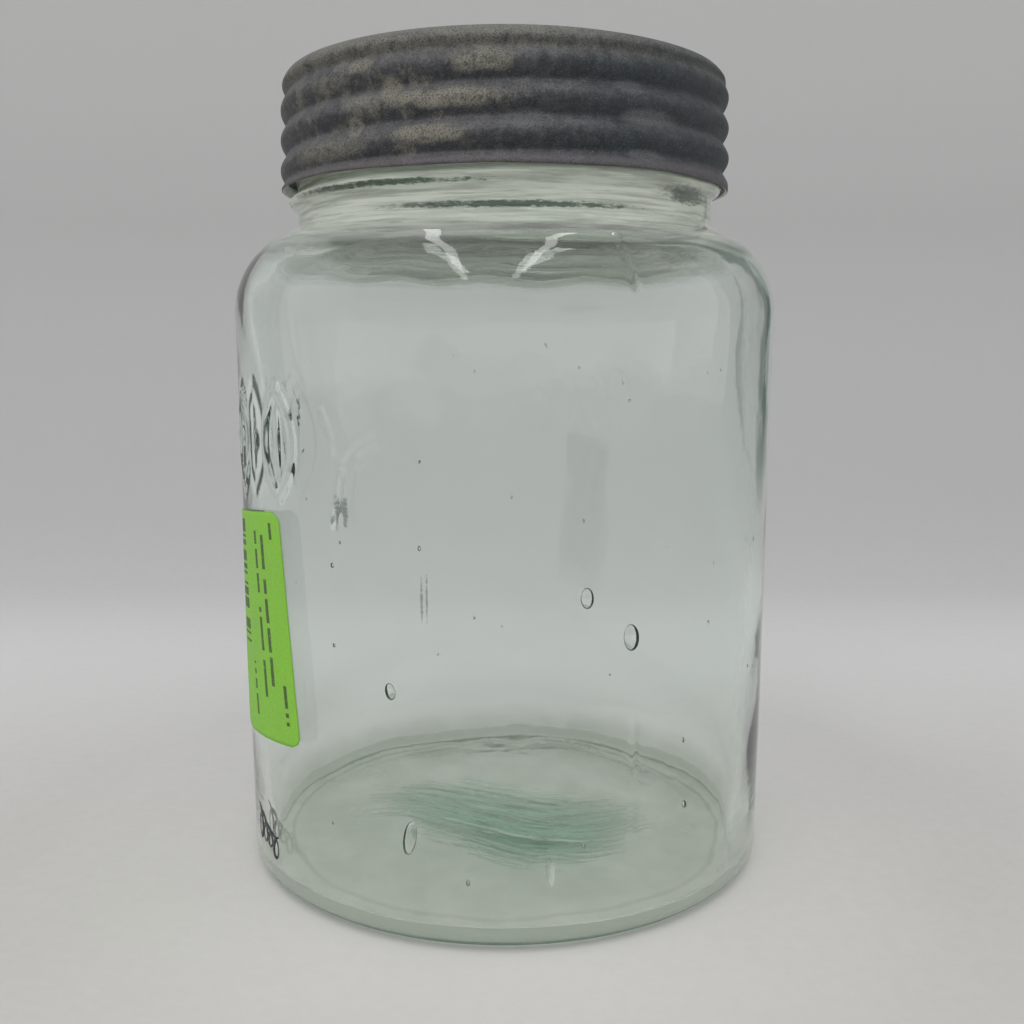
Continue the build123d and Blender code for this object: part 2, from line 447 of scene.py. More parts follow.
def glass_surface(outline, side, phis):
    """Radius and height of every vertex of the glass."""
    normal = normals_of(outline)
    phi = phis[None, :]
    r0, z0 = outline[:, :1], outline[:, 1:]
    x, y = r0 * np.sin(np.radians(phi)), -r0 * np.cos(np.radians(phi))
    out = outer_relief(phi, z0) * smoothstep((LIP_Z - 2 - z0) / 2) * smoothstep(z0 / 3)
    within = 0.16 * inner_waves(phi, z0) + 0.03 * inner_fine(phi, z0)
    within = within * smoothstep((LIP_Z - 1 - z0) / 4)
    floor = 0.25 * inner_waves(np.degrees(np.arctan2(x, 30 - y)), x / 3 + y / 4)
    floor = floor * smoothstep(r0 / 12) + 0.07 * chill_marks(x, y, 21, 90)
    under = 0.07 * chill_marks(x, y, 22, 90) * smoothstep((RING_R - 3 - r0) / 8)
    side = side[:, None]
    lift = np.select([side == 0, side == 1, side == 2], [under, out, within], floor)
    ridge = np.where((side == 1) & (z0 > SHOULDER_Z + 12), thread_ridge(phi, z0), 0.0)
    r = r0 + normal[:, :1] * lift + ridge
    z = z0 + normal[:, 1:] * lift
    r[0], r[-1] = 0.0, 0.0
    return r, z


def glass_columns():
    """Angles of the mesh's columns: close where the ornament and creases are."""
    fine = np.arange(-56, -18, 0.42)
    ornament_side = np.arange(-112, -56, 0.75)
    seam_side = np.arange(14, 34, 0.6)
    rest = [np.arange(-18, 14, 1.6), np.arange(34, 248, 2.4)]
    return np.sort(np.concatenate([fine, ornament_side, seam_side, *rest]))


# Bubbles in the wall: phi, z, width, height, tilt in degrees
BUBBLES = [
    (15.2, 50.8, 1.9, 3.0, 4),
    (24.3, 44.7, 2.4, 3.9, 6),
    (-22.2, 37.1, 1.6, 2.5, 10),
    (-18.6, 15.8, 2.0, 5.2, -10),
    (-34.8, 54.3, 0.6, 0.8, 0),
    (38.0, 18.0, 0.9, 1.3, 20),
]
SEED_BUBBLES = 46
BUBBLE_DEPTH = 0.36


def bubble(phi, z, width, height, tilt, depth_share):
    """An air bubble inside the wall, whose faces look into the air."""
    rings, columns = (12, 18) if width > 1 else (8, 10)
    radius = glass_radius(z) - WALL * depth_share
    lean = radians(tilt)

    def point(polar, turn):
        across = width / 2 * sin(polar) * cos(turn)
        up = height / 2 * cos(polar)
        off = radius + min(BUBBLE_DEPTH, width / 2) * sin(polar) * sin(turn)
        here = radians(phi) + (across * cos(lean) - up * sin(lean)) / radius
        return (off * sin(here), -off * cos(here), z + across * sin(lean) + up * cos(lean))

    verts = [point(0, 0)]
    for i in range(1, rings):
        verts += [point(pi * i / rings, 2 * pi * k / columns) for k in range(columns)]
    verts.append(point(pi, 0))
    bottom = len(verts) - 1
    last_ring = bottom - columns
    faces = []
    for k in range(columns):
        after = (k + 1) % columns
        faces.append((0, 1 + k, 1 + after))
        for low in range(1, last_ring, columns):
            high = low + columns
            faces.append((low + k, high + k, high + after, low + after))
        faces.append((last_ring + k, bottom, last_ring + after))
    return verts, faces


def all_bubbles():
    rng = np.random.default_rng(31)
    found = [(*b, 0.5) for b in BUBBLES]
    for _ in range(SEED_BUBBLES):
        size = rng.uniform(0.25, 0.6)
        found.append(
            (
                rng.uniform(-180, 180),
                rng.uniform(10, 86),
                size,
                size * rng.uniform(1.0, 2.0),
                rng.uniform(-20, 20),
                rng.uniform(0.3, 0.7),
            )
        )
    return [bubble(*b) for b in found]


def make_jar():
    outline, side = glass_outline()
    phis = glass_columns()
    verts, faces = swept(*glass_surface(outline, side, phis), phis)
    verts = verts.tolist()
    for more_verts, more_faces in all_bubbles():
        shift = len(verts)
        verts += more_verts
        faces += [tuple(i + shift for i in f) for f in more_faces]
    return new_mesh("glass_jar", verts, faces)


# ---------------------------------------------------------------- cap, liner


def roll_share(phi, z):
    """0 in a groove of the rolled thread, 1 on a crest."""
    turn = (z - helix_z(phi)) / PITCH + 0.5
    high = sqrt(1 + GROOVE_SHARPNESS**2)
    wave = np.sqrt(np.sin(pi * turn) ** 2 + GROOVE_SHARPNESS**2)
    return (wave - GROOVE_SHARPNESS) / (high - GROOVE_SHARPNESS)


cap_waves = ripples(41, 10, 5, 0.2)
cap_fine = ripples(42, 18, 34, 1.6)
rim_waves = ripples(43, 8, 9, 0.1)


def cap_outline():
    """Section of the sheet from the middle of the top out, down to the rim and back inside.
    Returns the points and how strongly the rolls show at each."""
    top = CAP_HIGH.z
    rim = CAP_LOW.z
    panel_z = top - PANEL_DEPTH
    soft = 0.5
    panel = line((0, panel_z), (PANEL_R - soft, panel_z), 3.4)
    step = np.array([(PANEL_R - 0.2, panel_z + 0.12), (PANEL_R + 0.2, top - 0.12)])
    flat = line((PANEL_R + soft, top), (TOP_EDGE_R, top), 1.2)
    bend = np.radians(np.linspace(90, 0, 16))
    edge = np.column_stack(
        (
            TOP_EDGE_R + (RIM_R - TOP_EDGE_R) * np.cos(bend),
            TOP_ROUND_Z + (top - TOP_ROUND_Z) * np.sin(bend),
        )
    )
    side = line((RIM_R, TOP_ROUND_Z), (RIM_R, rim + SHEET), 0.27)
    curl = arc((RIM_R - SHEET / 2, rim + SHEET / 2), SHEET / 2, 0, -180, 0.18)
    back = line((RIM_R - SHEET, rim + SHEET), (RIM_R - SHEET, TOP_ROUND_Z), 0.4)
    inner_edge = edge[::-1] - (SHEET, SHEET)
    under = line((TOP_EDGE_R, top - SHEET), (PANEL_R + soft + SHEET, top - SHEET), 1.5)
    under_step = step[::-1] + (SHEET, -SHEET)
    under_panel = line((PANEL_R - soft + SHEET, panel_z - SHEET), (0, panel_z - SHEET), 4.0)
    points = joined(
        panel, step, flat, edge, side, curl, back, inner_edge[::2], under, under_step, under_panel
    )
    z = points[:, 1]
    strong = smoothstep((z - rim) / ROLL_FADE) * smoothstep(1 - (z - TOP_ROUND_Z) / ROLL_FADE)
    strong = strong * (points[:, 0] > TOP_EDGE_R - SHEET)
    return points[::-1], strong[::-1]


# Dents in the cap's side: phi, z, reach across and up, depth
DENTS = [
    (-34, 121.5, 4.0, 1.8, 0.16),
    (12, 117.0, 6.0, 2.2, 0.12),
    (58, 119.0, 5.0, 2.0, 0.14),
    (-70, 114.0, 4.0, 2.5, 0.2),
    (140, 120.0, 6.0, 3.0, 0.22),
    (-150, 116.0, 5.0, 3.0, 0.18),
]


def make_cap():
    outline, strong = cap_outline()
    phis = np.arange(0, 360, 0.9)
    phi = phis[None, :]
    r0, z0 = outline[:, :1], outline[:, 1:]
    strong = strong[:, None]
    rolled = GROOVE_R + (ROLL_R - GROOVE_R) * roll_share(turn_between(phi, 0), z0)
    side = smoothstep((r0 - TOP_EDGE_R + 2) / 3)
    lift = 0.07 * cap_waves(phi, z0) + 0.018 * cap_fine(phi, z0)
    for at, dent_z, across, up, depth in DENTS:
        off = np.radians(turn_between(phi, at)) * ROLL_R
        lift = lift - depth * bump(off, across) * bump(z0 - dent_z, up)
    taper = CAP_TAPER * np.clip((z0 - CAP_LOW.z) / (TOP_ROUND_Z - CAP_LOW.z), 0, 1)
    r = r0 + (rolled - RIM_R) * strong + (np.minimum(lift, 0.02) - taper) * side
    near_rim = bump(z0 - CAP_LOW.z, 1.5)
    near_top = smoothstep((z0 - TOP_ROUND_Z) / 3)
    z = z0 + 0.07 * rim_waves(phi, z0 * 0) * near_rim
    z = z - (0.05 + 0.05 * cap_waves(phi, r0)) * near_top * smoothstep(r0 / 8)
    r[0], r[-1] = 0.0, 0.0
    return new_mesh("zinc_cap", *swept(r, z, phis))


def make_liner():
    """The opal liner: a pressed disc with a seating ring and concentric ribs underneath."""
    r_out = LINER_HIGH.x
    top, seat = LINER_HIGH.z, LINER_LOW.z
    soft = 0.7
    seat_r, recess = 28.6, 0.6
    under_edge = seat_r - recess
    under_r = np.linspace(0, under_edge - 0.5, 60)
    ribs = 0.28 * bump(under_r - 12.5, 0.7) + 0.28 * bump(under_r - 22.0, 0.7)
    ribs = ribs + 0.18 * bump(under_r - 3.5, 1.6)
    under = np.column_stack((under_r, seat + recess - ribs))
    outline = joined(
        under,
        np.array([(under_edge, seat + recess * 0.85), (seat_r - 0.2, seat + 0.15)]),
        line((seat_r + 0.3, seat), (r_out - soft, seat), 0.8),
        arc((r_out - soft, seat + soft), soft, -90, 0, 0.15),
        arc((r_out - soft, top - soft), soft, 0, 90, 0.15),
        line((r_out - soft, top), (0, top), 2.0),
    )
    phis = np.arange(0, 360, 2.5)
    wave = 0.02 * ripples(51, 8, 6, 0.3)(phis[None, :], outline[:, :1])
    r = np.broadcast_to(outline[:, :1], wave.shape).copy()
    z = outline[:, 1:] + wave * smoothstep(outline[:, :1] / 6)
    r[0], r[-1] = 0.0, 0.0
    return new_mesh("opal_liner", *swept(r, z, phis))


# ---------------------------------------------------------------- label, ink


def on_glass(phi, z, off):
    """A point a distance off the outer skin."""
    radius = glass_radius(z) + float(outer_relief(np.array(phi), np.array(z))) + off
    return (radius * sin(radians(phi)), -radius * cos(radians(phi)), z)


def label_place(a, b):
    """phi and z of a point of the label, from its own axes: a across, b up, in millimetres."""
    tilt = radians(LABEL_TILT)
    across, up = a * cos(tilt) - b * sin(tilt), a * sin(tilt) + b * cos(tilt)
    return LABEL_PHI + degrees(across / BODY_TOP_R), LABEL_Z + up


def label_lift(a, b):
    """The paper's edge stands off a little where it has been handled."""
    near = max(0.0, abs(a) / (LABEL_WIDTH / 2) - 0.9) * 10
    corner = max(0.0, abs(b) / (LABEL_HEIGHT / 2) - 0.88) * 8
    return 0.05 * near * near + 0.10 * corner * corner * near


def make_label():
    rows, columns = 56, 36
    verts, faces = [], []
    for layer in (0, 1):
        for i in range(rows + 1):
            b = LABEL_HEIGHT * (i / rows - 0.5)
            into = max(0.0, abs(b) - (LABEL_HEIGHT / 2 - LABEL_CORNER))
            half = LABEL_WIDTH / 2 - LABEL_CORNER + sqrt(max(0.0, LABEL_CORNER**2 - into**2))
            for k in range(columns + 1):
                a = half * (2 * k / columns - 1)
                phi, z = label_place(a, b)
                off = LABEL_OFF + label_lift(a, b) + layer * LABEL_THICK
                verts.append(on_glass(phi, z, off))
    per_row = columns + 1
    per_layer = (rows + 1) * per_row
    for i in range(rows):
        for k in range(columns):
            p = i * per_row + k
            q = p + per_row
            faces.append((p + 1, p, q, q + 1))
            faces.append((p + per_layer, p + 1 + per_layer, q + 1 + per_layer, q + per_layer))
    edge = list(range(per_row))
    edge += [i * per_row + columns for i in range(1, rows + 1)]
    edge += [rows * per_row + k for k in range(columns - 1, -1, -1)]
    edge += [i * per_row for i in range(rows - 1, 0, -1)]
    for p, q in zip(edge, edge[1:] + edge[:1]):
        faces.append((p, q, q + per_layer, p + per_layer))
    return new_mesh("price_sticker", verts, faces)


INK_PHI, INK_Z = -60.0, 9.0
INK_WIDTH = 0.8
INK_LOWEST_Z = 3.4
INK_SKINS = (0.02, 0.06)


def ink_line(t):
    """Centre line of the pen mark, a plain looped scribble: phi and z for t from 0 to 1."""
    loops = 4.0
    a = -5.2 + 9.6 * t + 1.5 * sin(2 * pi * loops * t)
    b = 2.6 * cos(2 * pi * loops * t) * (0.75 + 0.25 * cos(5 * t)) - 2.2 * t
    return INK_PHI + degrees(a / BODY_TOP_R), INK_Z + b


def make_ink():
    count = 260
    centre = [ink_line(i / count) for i in range(count + 1)]
    verts, faces = [], []
    for i, (phi, z) in enumerate(centre):
        (p0, z0), (p1, z1) = centre[max(0, i - 1)], centre[min(count, i + 1)]
        du, dv = radians(p1 - p0) * BODY_TOP_R, z1 - z0
        size = max(1e-6, sqrt(du * du + dv * dv))
        from_end = min(i, count - i)
        wide = INK_WIDTH / 2 * (0.75 + 0.35 * sin(0.11 * i)) * min(1.0, 0.2 + 0.1 * from_end)
        for side in (-1, 1):
            spot = phi + degrees(-dv / size * wide * side / BODY_TOP_R)
            for off in INK_SKINS:
                verts.append(on_glass(spot, max(INK_LOWEST_Z, z + du / size * wide * side), off))
    for i in range(count):
        p, q = 4 * i, 4 * i + 4
        for a, b in ((0, 1), (1, 3), (3, 2), (2, 0)):
            faces.append((p + b, p + a, q + a, q + b))
    faces.append((0, 1, 3, 2))
    faces.append(tuple(4 * count + i for i in (2, 3, 1, 0)))
    return new_mesh("pen_mark", verts, faces)


# ---------------------------------------------------------------- materials


class Nodes:
    """Short forms for building a node tree."""

    def __init__(self, name):
        self.material = bpy.data.materials.new(name)
        self.material.use_nodes = True
        self.tree = self.material.node_tree
        self.tree.nodes.clear()
        self.out = self.add("ShaderNodeOutputMaterial")
        self.shader = self.add("ShaderNodeBsdfPrincipled")
        self.link(self.shader.outputs[0], self.out.inputs["Surface"])

    def add(self, kind, **settings):
        node = self.tree.nodes.new(kind)
        for key, value in settings.items():
            setattr(node, key, value)
        return node

    def link(self, source, target):
        self.tree.links.new(source, target)

    def feed(self, target, value):
        if isinstance(value, bpy.types.NodeSocket):
            self.link(value, target)
        else:
            target.default_value = value

    def set(self, **values):
        for key, value in values.items():
            self.feed(self.shader.inputs[key.replace("_", " ")], value)

    def math(self, kind, a, b=0.0, clamp=False):
        node = self.add("ShaderNodeMath", operation=kind, use_clamp=clamp)
        self.feed(node.inputs[0], a)
        self.feed(node.inputs[1], b)
        return node.outputs[0]

    def chain(self, kind, first, *others):
        """One sum, product or maximum of several values."""
        for other in others:
            first = self.math(kind, first, other)
        return first

    def plus(self, *values):
        return self.chain("ADD", *values)

    def times(self, *values):
        return self.chain("MULTIPLY", *values)

    def most(self, *values):
        return self.chain("MAXIMUM", *values)

    def minus(self, a, b):
        return self.math("SUBTRACT", a, b)

    def size(self, value):
        return self.math("ABSOLUTE", value)

    def place(self):
        """Object coordinates in millimetres."""
        coords = self.add("ShaderNodeTexCoord").outputs["Object"]
        node = self.add("ShaderNodeVectorMath", operation="SCALE")
        self.link(coords, node.inputs[0])
        node.inputs["Scale"].default_value = 1 / MM
        return node.outputs[0]

    def split(self, vector):
        node = self.add("ShaderNodeSeparateXYZ")
        self.link(vector, node.inputs[0])
        return node.outputs

    def facing(self):
        """The surface normal in the object's axes."""
        return self.split(self.add("ShaderNodeTexCoord").outputs["Normal"])

    def angle(self, x, y):
        """phi, in radians."""
        return self.math("ARCTAN2", x, self.times(y, -1.0))

    def radius(self, x, y):
        """The distance from the jar's axis."""
        return self.math("SQRT", self.plus(self.times(x, x), self.times(y, y)))

    def noise(self, place, scale, detail=3.0, rough=0.55, stretch=(1, 1, 1), warp=0.0):
        spread = self.add("ShaderNodeVectorMath", operation="MULTIPLY")
        self.link(place, spread.inputs[0])
        spread.inputs[1].default_value = stretch
        node = self.add("ShaderNodeTexNoise")
        self.link(spread.outputs[0], node.inputs["Vector"])
        node.inputs["Scale"].default_value = scale
        node.inputs["Detail"].default_value = detail
        node.inputs["Roughness"].default_value = rough
        node.inputs["Distortion"].default_value = warp
        return node.outputs[0]

    def cells(self, place, scale):
        node = self.add("ShaderNodeTexVoronoi")
        self.link(place, node.inputs["Vector"])
        node.inputs["Scale"].default_value = scale
        return node.outputs["Distance"]

    def between(self, value, low, high, to_low=0.0, to_high=1.0):
        """A smooth step from one level at low to another at high."""
        node = self.add("ShaderNodeMapRange", interpolation_type="SMOOTHSTEP")
        self.feed(node.inputs["Value"], value)
        for key, number in zip(
            ("From Min", "From Max", "To Min", "To Max"), (low, high, to_low, to_high)
        ):
            node.inputs[key].default_value = number
        return node.outputs[0]

    def fade(self, value, low, high, top=1.0):
        """A top level up to low, falling to 0 at high."""
        return self.between(value, low, high, top, 0.0)

    def mix(self, share, a, b):
        node = self.add("ShaderNodeMix", data_type="RGBA")
        self.feed(node.inputs["Factor"], share)
        for key, value in ((6, a), (7, b)):
            if isinstance(value, tuple):
                value = (*value, 1.0)
            self.feed(node.inputs[key], value)
        return node.outputs[2]

    def raised(self, height, strength, distance):
        node = self.add("ShaderNodeBump")
        self.link(height, node.inputs["Height"])
        node.inputs["Strength"].default_value = strength
        node.inputs["Distance"].default_value = distance * MM
        self.link(node.outputs[0], self.shader.inputs["Normal"])


def spots(n, phi, z, wander, marks):
    """The strongest of a list of soft-edged marks, whose edges wander with a noise."""
    levels = []
    for at, height, across, up, strength in marks:
        a = n.math("DIVIDE", n.times(n.minus(phi, radians(at)), ROLL_R), across)
        b = n.math("DIVIDE", n.minus(z, height), up)
        off = n.plus(n.times(a, a), n.times(b, b), n.times(wander, 1.8))
        levels.append(n.fade(off, 0.2, 1.5, strength))
    return n.most(*levels)


GLASS_IOR = 1.51
GLASS_TINT = (0.30, 0.74, 0.42, 1.0)
GLASS_TINT_PER_MM = 0.020

# What tints the glass's surface
UNTINTED = (1.0, 1.0, 1.0)
# Milky haze, partly painted light on the neck, base and foot, and the painted highlight low in front
HAZE_AND_LIGHT_TINT = (0.75, 0.80, 0.71)
# Painted shade on the neck's streaks and in the creases
DARK_LINE_SHADE = (0.10, 0.15, 0.11)
# Painted shade: a dark line low on the foot, where the jar stands
FOOT_LINE_SHADE = (0.18, 0.32, 0.23)
# Painted shade: the thin dark line round the edge of the floor
FLOOR_LINE_SHADE = (0.42, 0.38, 0.32)
SCAR_TINT = (0.46, 0.76, 0.60)
SCAR_PALE_TINT = (0.80, 0.90, 0.84)
SCAR_DARK_TINT = (0.16, 0.32, 0.23)

# Where the surface changes, from and to: heights and radii in millimetres
# Heights of the neck's and the heel's pale haze, which is partly painted light
NECK_HAZE_AND_LIGHT_Z = (98.5, 102.5)
HEEL_HAZE_AND_LIGHT_Z = (4.0, 10.0)
BASE_TOP_Z = (7.0, 8.0)
FOOT_R = (41.2, 42.0)
FOOT_Z = (3.4, 4.6)
FLOOR_LINE_R = 37.0

# The scar's oval, along and across its streaks
SCAR_HALF_LENGTH = 21.0
SCAR_HALF_WIDTH = 11.5
SCAR_MAIN_STREAK = -8.5

# Painted shade, the dark lines on the neck and the darkest parts of the creases: phi, z, half width
# and half height in millimetres, strength
PAINTED_DARK_LINES = [
    (2.0, 104.3, 19.0, 0.50, 1.0),
    (-34.0, 107.5, 18.0, 0.40, 1.0),
    (54.0, 107.0, 7.0, 1.3, 0.8),
    (-32.4, 62.0, 0.4, 2.4, 0.9),
    (-15.1, 50.6, 0.16, 3.2, 0.8),
    (160.0, 104.8, 15.0, 0.4, 0.6),
    (-130.0, 106.6, 12.0, 0.4, 0.5),
]
# A short pale painted highlight low in the front of the glass, in the same terms
PAINTED_GLINT = (8.6, 11.4, 0.4, 2.0, 0.3)


def base_scar(n, place):
    """The sheared scar in the middle of the base.
    Returns its green area, its dark streaks, its pale ones, and how high its streaks stand."""
    x, y, z = n.split(place)
    swing = n.math("SINE", n.math("DIVIDE", n.plus(x, SCAR_START), SCAR_LENGTH))
    across = n.plus(y, n.times(swing, SCAR_SWING))
    flow = n.add("ShaderNodeCombineXYZ")
    n.feed(flow.inputs[0], n.times(x, 0.09))
    n.feed(flow.inputs[1], across)
    streaks = n.noise(flow.outputs[0], 0.55, 4.0, 0.7, warp=0.25)
    hairs = n.noise(flow.outputs[0], 1.5, 3.0, 0.6, warp=0.2)
    a = n.math("DIVIDE", x, SCAR_HALF_LENGTH)
    b = n.math("DIVIDE", n.plus(across, 2.5), SCAR_HALF_WIDTH)
    ragged = (n.times(n.minus(streaks, 0.5), 2.6), n.times(n.minus(hairs, 0.5), 2.4))
    off = n.plus(n.times(a, a), n.times(b, b), *ragged)
    inside = n.times(n.fade(off, 0.25, 1.25), n.fade(z, *BASE_TOP_Z))
    green = n.times(inside, n.between(across, -9.5, -3.0, 1.0, 0.62))
    dark = n.times(n.between(hairs, 0.52, 0.62, 0.0, 0.85), green)
    main = n.fade(n.size(n.minus(across, SCAR_MAIN_STREAK)), 0.25, 0.7)
    pale = n.most(main, n.between(hairs, 0.40, 0.33))
    pale = n.times(pale, n.fade(n.size(x), 14.0, 24.0), inside)
    return green, dark, pale, n.times(hairs, inside)


def glass_haze_and_painted_light(n, place, phi, z, film, foot):
    """How milky the surface is, partly haze and partly painted light: on the ringed neck, round the
    base and on the worn foot.
    """
    ringed = n.noise(place, 0.5, 5.0, 0.65, stretch=(0.12, 0.12, 2.4))
    neck = n.times(n.between(z, *NECK_HAZE_AND_LIGHT_Z), n.between(ringed, 0.36, 0.60, 0.34, 0.74))
    base = n.times(n.fade(z, *HEEL_HAZE_AND_LIGHT_Z), n.between(film, 0.3, 0.7, 0.14, 0.26))
    # Painted highlight: a short pale mark low in the front of the glass
    painted_glint = spots(n, phi, z, 0.0, [PAINTED_GLINT])
    worn_and_lit_foot = n.times(foot, n.between(z, 0.9, 1.8, 0.15, 0.38))
    return n.most(neck, base, painted_glint, worn_and_lit_foot)


def painted_dark_lines(n, place, phi, z):
    """Painted shade: the ragged dark streaks of the neck, and the darkest parts of the creases."""
    ragged = n.minus(n.noise(place, 1.4, 4.0, 0.75, stretch=(0.5, 0.5, 1.6)), 0.5)
    return spots(n, phi, z, n.times(ragged, 2.2), PAINTED_DARK_LINES)


def painted_floor_line(n, radius, z, film):
    """Painted shade: the thin, unsteady line that runs round the edge of the floor."""
    unsteady = n.times(n.minus(film, 0.5), 3.0)
    off = n.minus(n.minus(radius, FLOOR_LINE_R), unsteady)
    strength = n.fade(n.size(off), 0.15, 0.75, 0.55)
    return n.times(strength, n.between(z, 1.2, 1.6), n.fade(z, *BASE_TOP_Z))


def glass_material():
    """Pale green soda glass: tinted by depth, with a faint film of dust, a worn, scarred base, and
    painted light and shade.
    """
    n = Nodes("green_glass")
    place = n.place()
    x, y, z = n.split(place)
    phi = n.angle(x, y)
    radius = n.radius(x, y)
    film = n.noise(place, 0.09, 4.0, 0.6)
    smears = n.noise(place, 0.5, 5.0, 0.65, stretch=(1, 1, 0.35))
    haze = n.times(n.between(film, 0.45, 0.75), n.between(smears, 0.45, 0.8))
    foot = n.times(n.between(radius, *FOOT_R), n.fade(z, *FOOT_Z))
    haze_and_painted_light = glass_haze_and_painted_light(n, place, phi, z, film, foot)
    green, dark, pale, hairs = base_scar(n, place)
    # Milky haze that is partly painted light, with the painted highlight low in front
    tint = n.mix(n.math("MULTIPLY", haze_and_painted_light, 2.0, clamp=True), UNTINTED, HAZE_AND_LIGHT_TINT)
    # Painted shade: dark streaks on the neck and in the creases
    tint = n.mix(painted_dark_lines(n, place, phi, z), tint, DARK_LINE_SHADE)
    # Painted shade: a dark line low on the foot, where the jar stands
    tint = n.mix(n.times(foot, n.fade(z, 0.7, 1.5, 0.9)), tint, FOOT_LINE_SHADE)
    # Painted shade: the thin dark line round the edge of the floor
    tint = n.mix(painted_floor_line(n, radius, z, film), tint, FLOOR_LINE_SHADE)
    tint = n.mix(green, tint, SCAR_TINT)
    tint = n.mix(pale, tint, SCAR_PALE_TINT)
    n.set(
        Base_Color=n.mix(dark, tint, SCAR_DARK_TINT),
        Transmission_Weight=n.minus(1.0, n.most(haze_and_painted_light, n.times(pale, 0.75))),
        IOR=GLASS_IOR,
        Roughness=n.times(haze, 0.09),
    )
    skin = n.times(n.noise(place, 0.35, 3.0, 0.5), 0.012)
    n.raised(n.plus(skin, n.times(hairs, 0.10)), 1.0, 1.0)
    depth = n.add("ShaderNodeVolumeAbsorption")
    depth.inputs["Color"].default_value = GLASS_TINT
    depth.inputs["Density"].default_value = GLASS_TINT_PER_MM / MM
    n.link(depth.outputs[0], n.out.inputs["Volume"])
    return n.material


# Colours of the zinc, in pairs from dark to light
SLATE = ((0.020, 0.022, 0.028), (0.054, 0.056, 0.062))
TEAL = ((0.017, 0.023, 0.028), (0.034, 0.045, 0.050))
CHALK = ((0.165, 0.160, 0.125), (0.270, 0.260, 0.215))
BARE_ZINC = ((0.70, 0.70, 0.69), (0.85, 0.85, 0.83))
# Painted light from above, with random paler mottle: the grey of up-facing places
LIT_AND_WORN_GREY = (0.150, 0.150, 0.156)
SCUFF_GREY = (0.150, 0.158, 0.165)
RIM_GREY = (0.135, 0.118, 0.130)
SPECK_GREY = (0.24, 0.24, 0.23)
GRIT_DARK = (0.012, 0.013, 0.015)
GRIT_PALE = (0.22, 0.22, 0.21)

# Chalky spots on the cap: phi, z, half width and half height in millimetres, strength
CAP_SPOTS = [
    (-34.5, 123.3, 2.6, 1.1, 0.9),
    (-5.0, 122.8, 4.6, 1.7, 0.9),
    (-14.0, 118.0, 9.5, 1.4, 1.0),
    (-17.0, 113.4, 6.0, 1.3, 0.9),
    (-45.0, 112.4, 9.0, 1.4, 0.6),
    (-44.0, 121.4, 4.0, 1.3, 0.5),
    (-33.0, 118.0, 4.0, 1.5, 0.6),
    (150.0, 119.0, 8.0, 2.2, 0.8),
    (-120.0, 117.5, 6.0, 1.8, 0.8),
]
# Plain grey scuffs on the cap, a round chalky spot, and a ring of chalk, in the same terms
CAP_SCUFFS = [
    (35.0, 116.3, 5.2, 1.1, 0.9),
    (29.0, 120.0, 2.6, 1.0, 0.6),
    (5.0, 115.0, 3.0, 1.4, 0.6),
    (34.0, 111.2, 3.4, 0.9, 0.7),
    (100.0, 118.0, 5.0, 1.6, 0.7),
    (-160.0, 113.0, 6.0, 1.2, 0.7),
]
ROUND_SPOT = (-26.0, 119.4, 1.9, 1.9, 0.85)
RING_SPOT = (-36.0, 115.1, 1.5, 1.5, 0.8)
RING_HOLE = (-36.0, 115.1, 0.75, 0.75, 0.5)


def zinc_oxide(n, phi, up, mottle, wander):
    """The oxide's colour, slate on the left and teal on the right, painted paler grey where a place
    faces up, as painted light from above, and where its mottle stands proud; and how far a place
    faces up.
    """
    right = n.between(n.plus(phi, n.times(wander, 1.2)), 0.05, 0.5)
    right = n.times(right, n.fade(phi, 1.2, 1.7))
    share = n.between(mottle, 0.3, 0.7)
    oxide = n.mix(right, n.mix(share, *SLATE), n.mix(share, *TEAL))
    # Painted light from above: the more a place faces up, and where its mottle stands proud, the
    # paler grey it is painted
    raised = n.plus(up, n.times(n.minus(mottle, 0.5), 1.5))
    raised = n.minus(raised, n.times(right, 0.3))
    worn = n.times(n.between(raised, -0.35, 1.0), n.between(right, 0.0, 1.0, 0.85, 0.62))
    return n.mix(worn, oxide, LIT_AND_WORN_GREY), raised


def zinc_chalk(n, place, phi, raised, mottle, wander):
    """How thick the cream corrosion lies: in patches, thicker on up-facing faces as partly painted
    light, in a film on the left and on the top edge.
    """
    x, y, z = n.split(place)
    cloud = n.noise(place, 0.11, 5.0, 0.6, warp=0.4)
    # Partly painted light: these patches lie where a place faces up
    dusty_and_lit = n.times(n.between(raised, 0.45, 1.15), n.between(cloud, 0.38, 0.62))
    left = n.between(n.times(x, -1.0), -14.0, 20.0, 0.0, 0.55)
    film = n.times(left, n.between(n.noise(place, 0.28, 5.0, 0.65), 0.46, 0.66))
    edge = n.times(n.between(z, 123.2, 125.2), n.between(phi, -0.2, 0.9, 0.55, 0.15))
    chalk = n.most(spots(n, phi, z, wander, CAP_SPOTS), n.times(dusty_and_lit, 0.8), film, edge)
    chalk = n.times(chalk, n.between(mottle, 0.30, 0.56, 0.25, 1.0))
    drops = n.times(wander, 0.5)
    round_spot = spots(n, phi, z, drops, [ROUND_SPOT])
    ring = n.minus(spots(n, phi, z, drops, [RING_SPOT]), spots(n, phi, z, drops, [RING_HOLE]))
    return n.most(chalk, round_spot, ring)


def zinc_inside(n, place):
    """1 on the clean inside of the cap, 0 outside."""
    x, y, z = n.split(place)
    nx, ny, up = n.facing()
    outward = n.plus(n.times(x, nx), n.times(y, ny))
    side = n.times(n.fade(outward, -0.5, 0.5), n.fade(up, 0.2, 0.5))
    under = n.times(n.fade(up, -0.9, -0.6), n.between(z, 112.0, 113.0))
    return n.most(side, under)


